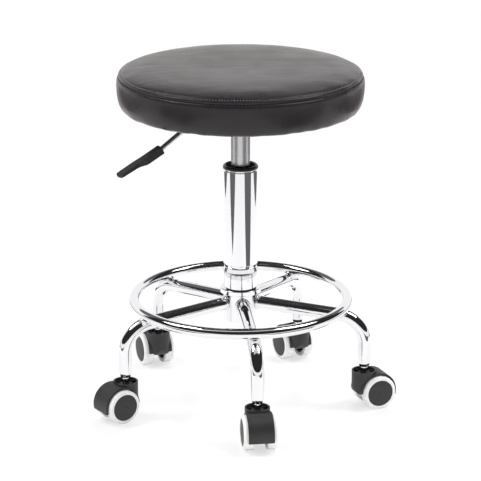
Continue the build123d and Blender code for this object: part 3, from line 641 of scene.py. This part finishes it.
def pad_unevenness(section, points, out):
    """How far the pressed pad lifts or drops each point of the cover."""
    pad = swollen_pad(section)
    swell = np.full(points.shape[:2], pad_inset)
    for ring in range(len(section)):
        for step in range(seat_segments):
            direction = Vector(out[ring, step])
            start = Vector(points[ring, step]) + direction * pad_ray_reach
            hit = pad.ray_cast(start, -direction, 2 * pad_ray_reach)
            if hit[0] is not None:
                swell[ring, step] += pad_ray_reach - hit[3]
    # The cover keeps its fitted outline and takes on the pad's unevenness
    uneven = np.clip(swell - np.median(swell, axis=1)[:, None], -pad_swell_cap, pad_swell_cap)
    # A running median drops stray hits, and the rest is smoothed
    uneven = pad_share * np.median([np.roll(uneven, step, 1) for step in range(-3, 4)], axis=0)
    for axis in (0, 1, 1):
        uneven = (np.roll(uneven, -1, axis) + 2 * uneven + np.roll(uneven, 1, axis)) / 4
    return uneven * np.clip((section[:, 1] - pad_fade_start) / pad_fade_height, 0, 1)[:, None]


def seat_cover():
    """Cover of the seat, pressed out by the pad, seamed and puckered, as one mesh."""
    section, from_seam, seam_ring = seat_section()
    slope = np.gradient(section, axis=0)
    normal = np.stack([slope[:, 1], -slope[:, 0]], axis=1)
    normal /= np.linalg.norm(normal, axis=1)[:, None]
    mesh, points, angles = lathe_mesh("seat_cover", section, seat_segments)
    out = turned(normal, angles)
    push = np.zeros(points.shape[:2])
    push += pad_unevenness(section, points, out)
    # Seam sewn in, a raised welt between it and the stitched row, and the row's own channel
    push -= seam_depth * crease(from_seam, 0, seam_half_width)
    push += welt_height * hump(from_seam, stitch_row_offset / 2, welt_half_width)
    push -= stitch_channel_depth * crease(from_seam, stitch_row_offset, stitch_channel_half_width)
    # The vinyl is pulled under the board and stapled, so its lower edge is puckered in patches
    height = section[:, 1] - under_height
    patches = foot_patch_least + (1 - foot_patch_least) * np.abs(ripple(6, foot_patch_waves, angles))
    push += foot_pucker * hump(height, 0, foot_pucker_reach) * patches * ripple(3, foot_pucker_waves, angles)
    push += side_wave * hump(height, side_wave_height, side_wave_reach) * ripple(4, side_waves, angles)
    push += seam_wave * hump(from_seam, 0, seam_wave_reach) * ripple(5, seam_waves, angles)
    final = points + out * push[:, :, None]
    # Long shallow waves across the crown
    for ring in range(seam_ring + crown_wave_first_ring, len(section)):
        fade = min(1.0, from_seam[ring] / crown_wave_fade)
        for step in range(seat_segments):
            x, y, _ = final[ring, step]
            wave = noise.noise(Vector((x / crown_wave_along_x, y / crown_wave_along_y, crown_wave_slice)))
            final[ring, step, 2] += fade * crown_wave * wave
    final[:, :, 2] = np.maximum(final[:, :, 2], lowest_vinyl)
    mesh.vertices.foreach_set("co", final.reshape(-1).astype(np.float32))
    return mesh, final, seam_ring, from_seam


def split_cover(mesh, seam_ring, name, keep_upper):
    """One panel of the cover, cut along the seam, with its own thickness turned in."""
    panel = bmesh.new()
    panel.from_mesh(mesh)
    panel.faces.ensure_lookup_table()
    lower_faces = seam_ring * seat_segments
    drop = panel.faces[:lower_faces] if keep_upper else panel.faces[lower_faces:]
    bmesh.ops.delete(panel, geom=list(drop), context="FACES")
    if keep_upper:
        rim = [e for e in panel.edges if e.is_boundary and e.verts[0].co.xy.length < middle_hole]
        bmesh.ops.holes_fill(panel, edges=rim, sides=0)
    bmesh.ops.recalc_face_normals(panel, faces=panel.faces)
    cut = bpy.data.meshes.new(name)
    panel.to_mesh(cut)
    panel.free()
    piece = new_piece(name, cut, vinyl)
    skin = piece.modifiers.new("vinyl", "SOLIDIFY")
    skin.thickness = vinyl_thickness
    skin.offset = -1.0
    return piece


def outward(cover, ring):
    """Unit normals of the cover along one of its rings."""
    around_ring = np.roll(cover[ring], -1, axis=0) - np.roll(cover[ring], 1, axis=0)
    normal = np.cross(around_ring, cover[ring + 2] - cover[ring - 2])
    return normal / np.linalg.norm(normal, axis=1)[:, None]


def stitches(name, cover, ring, pitch, length, rise, material):
    """Row of short threads along a ring of the cover, that rise out of the vinyl and dip back in."""
    closed = np.concatenate([cover[ring], cover[ring][:1]])
    normals = outward(cover, ring)
    normals = np.concatenate([normals, normals[:1]])
    lengths = distance_along(closed)
    count = round(lengths[-1] / pitch)
    points = []
    faces = []
    for index in range(count):
        middle = lengths[-1] * index / count
        base = len(points)
        for section in range(thread_sections):
            t = section / (thread_sections - 1)
            place = (middle + (t - 0.5) * length) % lengths[-1]
            centre = np.array([np.interp(place, lengths, column) for column in closed.T])
            up = np.array([np.interp(place, lengths, column) for column in normals.T])
            up /= np.linalg.norm(up)
            forward = np.cross((0, 0, 1.0), centre * (1, 1, 0))
            forward /= np.linalg.norm(forward)
            across = np.cross(up, forward)
            arch = math.sin(math.pi * t)
            centre = centre + up * (rise * arch - thread_sunk)
            thick = thread_radius * (thread_end_share + (1 - thread_end_share) * arch)
            for side in range(thread_sides):
                turn = 2 * math.pi * side / thread_sides
                points.append(centre + thick * (math.cos(turn) * across + math.sin(turn) * up))
        for section in range(thread_sections - 1):
            for side in range(thread_sides):
                a = base + section * thread_sides + side
                b = base + section * thread_sides + (side + 1) % thread_sides
                faces.append((a, b, b + thread_sides, a + thread_sides))
        last = base + (thread_sections - 1) * thread_sides
        faces.append(tuple(base + side for side in reversed(range(thread_sides))))
        faces.append(tuple(last + side for side in range(thread_sides)))
    mesh = bpy.data.meshes.new(name)
    mesh.from_pydata([tuple(p) for p in points], [], faces)
    return new_piece(name, mesh, material)


def staples(name, material):
    """Wire staples that hold the cover's edge to the board, each set a little askew."""
    draw = np.random.default_rng(8)
    size = Matrix.Diagonal((staple_crown, staple_width, staple_wire, 1))
    built = bmesh.new()
    for index in range(staple_count):
        turn = 2 * math.pi * (index + draw.uniform(-staple_drift, staple_drift)) / staple_count
        radius = staple_radius + draw.uniform(-staple_wander, staple_wander)
        askew = turn + math.pi / 2 + draw.uniform(-staple_askew, staple_askew)
        centre = (radius * math.cos(turn), radius * math.sin(turn), under_height - staple_sunk)
        place = Matrix.Translation(centre) @ Matrix.Rotation(askew, 4, "Z")
        bmesh.ops.create_cube(built, size=1.0, matrix=place @ size)
    bmesh.ops.bevel(built, geom=list(built.edges), offset=staple_rounding, segments=2, affect="EDGES")
    mesh = bpy.data.meshes.new(name)
    built.to_mesh(mesh)
    built.free()
    return new_piece(name, mesh, material, smooth=False)


cover_mesh, cover_points, seam_ring, from_seam = seat_cover()
top_panel = split_cover(cover_mesh, seam_ring, "vinyl_top_panel", keep_upper=True)
band = split_cover(cover_mesh, seam_ring, "vinyl_side_band", keep_upper=False)
bpy.data.meshes.remove(cover_mesh)
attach(top_panel, "seat")
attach(band, "seat")
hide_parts("seat_top_panel", "foam_pad")
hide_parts("seat_side_band")

stitch_ring = int(np.argmin(np.abs(from_seam - stitch_row_offset)))
topstitch = stitches(
    "topstitch_thread", cover_points, stitch_ring, stitch_pitch, stitch_length, stitch_rise, thread,
)
# The seam's row takes the darker thread copy, painted shade for the seam's crease
seamstitch = stitches(
    "seam_thread", cover_points, seam_ring,
    seam_stitch_pitch, seam_stitch_length, seam_stitch_rise, shaded_thread,
)
for row in (topstitch, seamstitch):
    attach(row, "seat")

cover_staples = staples("cover_staples", zinc)
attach(cover_staples, "seat")


# Collar of the column

def tube_collar(name, material):
    """Moulded collar lapped over the end of the column's tube."""
    tube_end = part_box("stand_tube")[1][2]
    corners = [(radius * MM, tube_end + height * MM) for radius, height in collar_section]
    section = smooth_line(corners, collar_rings)
    mesh, _, _ = lathe_mesh(name, np.concatenate([section, section[:1]]), collar_segments)
    joined = bmesh.new()
    joined.from_mesh(mesh)
    bmesh.ops.remove_doubles(joined, verts=joined.verts, dist=same_point)
    bmesh.ops.recalc_face_normals(joined, faces=joined.faces)
    joined.to_mesh(mesh)
    joined.free()
    return new_piece(name, mesh, material)


# The collar is black nylon, but it takes the darker nylon copy, whose extra darkness is painted shade
column_rim = tube_collar("column_rim", shaded_satin_nylon)
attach(column_rim, "base")


# Studio: pale floor, white surround, and grey and dark flags that only reflections see

def seen(tree):
    """1 for what the camera sees, straight or by way of metal or glass, and 0 for other light."""
    path = add(tree, "ShaderNodeLightPath").outputs
    mirror = add(
        tree, "ShaderNodeMath", None,
        {0: path["Is Glossy Ray"], 1: path["Is Transmission Ray"]}, operation="MAXIMUM",
    )
    either = add(
        tree, "ShaderNodeMath", None, {0: path["Is Camera Ray"], 1: mirror.outputs[0]}, operation="MAXIMUM",
    )
    return either.outputs[0]


def floor_finish():
    """Pale floor: mostly white to the camera and to reflections, with a share that takes shadow."""
    material, tree = bare_material("studio_floor")
    # Away from the stool the floor runs out into plain white
    place = add(tree, "ShaderNodeNewGeometry").outputs["Position"]
    distance = add(tree, "ShaderNodeVectorMath", None, {0: place}, operation="LENGTH")
    fade = add(
        tree, "ShaderNodeMapRange",
        {"From Min": 0.6, "From Max": 1.6, "To Min": 0.64, "To Max": 1.0},
        {"Value": distance.outputs["Value"]},
    )
    share = add(tree, "ShaderNodeMath", None, {0: seen(tree), 1: fade.outputs[0]}, operation="MULTIPLY")
    paint = add(tree, "ShaderNodeBsdfDiffuse", {"Color": linear("#FCFCFC")})
    glow = add(tree, "ShaderNodeEmission", {"Strength": 1.0})
    mix = add(
        tree, "ShaderNodeMixShader", None, {0: share.outputs[0], 1: paint.outputs[0], 2: glow.outputs[0]},
    )
    add(tree, "ShaderNodeOutputMaterial", None, {"Surface": mix.outputs[0]})
    return material


def flag_finish(name, hex_colour, strength=1.0):
    """Flag or lamp face of one even tone, whatever light falls on it."""
    material, tree = bare_material(name)
    tone = add(tree, "ShaderNodeEmission", {"Color": linear(hex_colour), "Strength": strength})
    add(tree, "ShaderNodeOutputMaterial", None, {"Surface": tone.outputs[0]})
    return material


grey_cloth = flag_finish("grey_flag", "#6A6769")
dark_cloth = flag_finish("dark_flag", "#2C2B2C")
overhead_white = flag_finish("overhead_white", "#D2D2D2")
lamp_face = flag_finish("lamp_face", "#FFFFFF", 6.0)


def around(azimuth, distance, height):
    """Point at an azimuth from -Y towards +X."""
    turn = math.radians(azimuth)
    return Vector((distance * math.sin(turn), -distance * math.cos(turn), height))


def flat_card(name, centre, size, facing, material):
    """Flat rectangle whose normal points along facing."""
    mesh = bpy.data.meshes.new(name)
    w, h = size[0] / 2, size[1] / 2
    mesh.from_pydata([(-w, -h, 0), (w, -h, 0), (w, h, 0), (-w, h, 0)], [], [(0, 1, 2, 3)])
    card = new_piece(name, mesh, material, smooth=False)
    card.location = centre
    card.rotation_euler = Vector(facing).to_track_quat("Z", "Y").to_euler()
    return card


def leave_to_mirrors(card):
    """Hide a flag from all but reflections."""
    card.visible_camera = False
    card.visible_diffuse = False
    card.visible_shadow = False


def floor_flag(name, corners):
    """Grey cloth on the studio floor, by corners (azimuth, distance)."""
    mesh = bpy.data.meshes.new(name)
    points = [around(azimuth, distance, floor_flag_height) for azimuth, distance in corners]
    mesh.from_pydata(points, [], [tuple(range(len(corners)))])
    card = new_piece(name, mesh, grey_cloth, smooth=False)
    leave_to_mirrors(card)


def ceiling_flag(name, y, height, size, material):
    """Level flag over the stool that faces down."""
    leave_to_mirrors(flat_card(name, (0, y, height), size, (0, 0, -1), material))


def softbox(name, centre, target, size, watts, face=None):
    """Square studio light aimed at a point, with the face of its box for reflections."""
    aim = Vector(target) - Vector(centre)
    lamp = bpy.data.lights.new(name, "AREA")
    lamp.shape = "SQUARE"
    lamp.size = size
    lamp.energy = watts
    holder = bpy.data.objects.new(name, lamp)
    bpy.context.scene.collection.objects.link(holder)
    holder.location = centre
    holder.rotation_euler = aim.to_track_quat("-Z", "Y").to_euler()
    holder.visible_glossy = False
    if face:
        leave_to_mirrors(flat_card(name + "_face", centre, face, aim, lamp_face))


flat_card("studio_floor", (0, 0, 0), floor_size, (0, 0, 1), floor_finish())
# An upright chrome tube seen from above mirrors the floor round it, so the
# dark streaks down the column come from cloths that widen away from the stool
floor_flag("floor_flag_right", [(32, 0.60), (57, 0.60), (67, 1.25), (76, 3.0), (10, 3.0), (19, 1.25)])
floor_flag("floor_flag_left", [(-61, 0.72), (-42, 1.25), (-34, 3.0), (-92, 3.0), (-82, 1.25)])
floor_flag("floor_flag_far_right", [(110, 1.0), (140, 1.3), (150, 3.0), (84, 3.0), (86, 1.3)])
floor_flag("floor_flag_far_left", [(-126, 1.06), (-104, 1.3), (-100, 3.0), (-160, 3.0), (-152, 1.3)])
# The room above and behind the camera is dark, so the tops of the tubes are too
ceiling_flag("ceiling_flag", -1.4, ceiling_height, (10.0, 8.0), dark_cloth)
ceiling_flag("back_ceiling_flag", 4.0, ceiling_height, (10.0, 2.8), grey_cloth)
# A long softbox overhead draws a bright line along the tubes
ceiling_flag("overhead_box", -0.8, overhead_height, (5.0, 1.1), overhead_white)
# Dark walls stand round the front and the sides
for azimuth in wall_azimuths:
    wall = around(azimuth, wall_distance, wall_height)
    leave_to_mirrors(flat_card("wall_flag", wall, wall_panel_size, around(azimuth, -1, 0), dark_cloth))

softbox("key_light", around(-100, 1.9, 2.9), (0, 0, 0.3), size=0.9, watts=44, face=lamp_face_size)
softbox("fill_light", around(88, 1.7, 2.9), (0, 0, 0.3), size=0.8, watts=46, face=lamp_face_size)
softbox("back_light", around(165, 2.6, 2.8), (0, 0, 0.4), size=1.6, watts=40)

# Surround: white where it is seen, and dimmer as a light
world = bpy.data.worlds.new("studio")
bpy.context.scene.world = world
world.use_nodes = True
world_tree = world.node_tree
world_tree.nodes.clear()
strength = add(world_tree, "ShaderNodeMapRange", {"To Min": 0.7, "To Max": 1.0}, {"Value": seen(world_tree)})
sky = add(world_tree, "ShaderNodeBackground", {"Color": (1, 1, 1, 1)}, {"Strength": strength.outputs[0]})
add(world_tree, "ShaderNodeOutputWorld", None, {"Surface": sky.outputs[0]})

lens = bpy.data.cameras.new("camera")
lens.sensor_width = sensor_width
lens.lens = camera_focal_pixels * sensor_width / photo_pixels
camera = bpy.data.objects.new("camera", lens)
bpy.context.scene.collection.objects.link(camera)
camera.location = around(camera_azimuth, camera_distance, camera_height)
camera.rotation_euler = (math.radians(90 - camera_pitch), 0, math.radians(camera_azimuth))
bpy.context.scene.camera = camera
bpy.context.scene.view_settings.view_transform = "Standard"
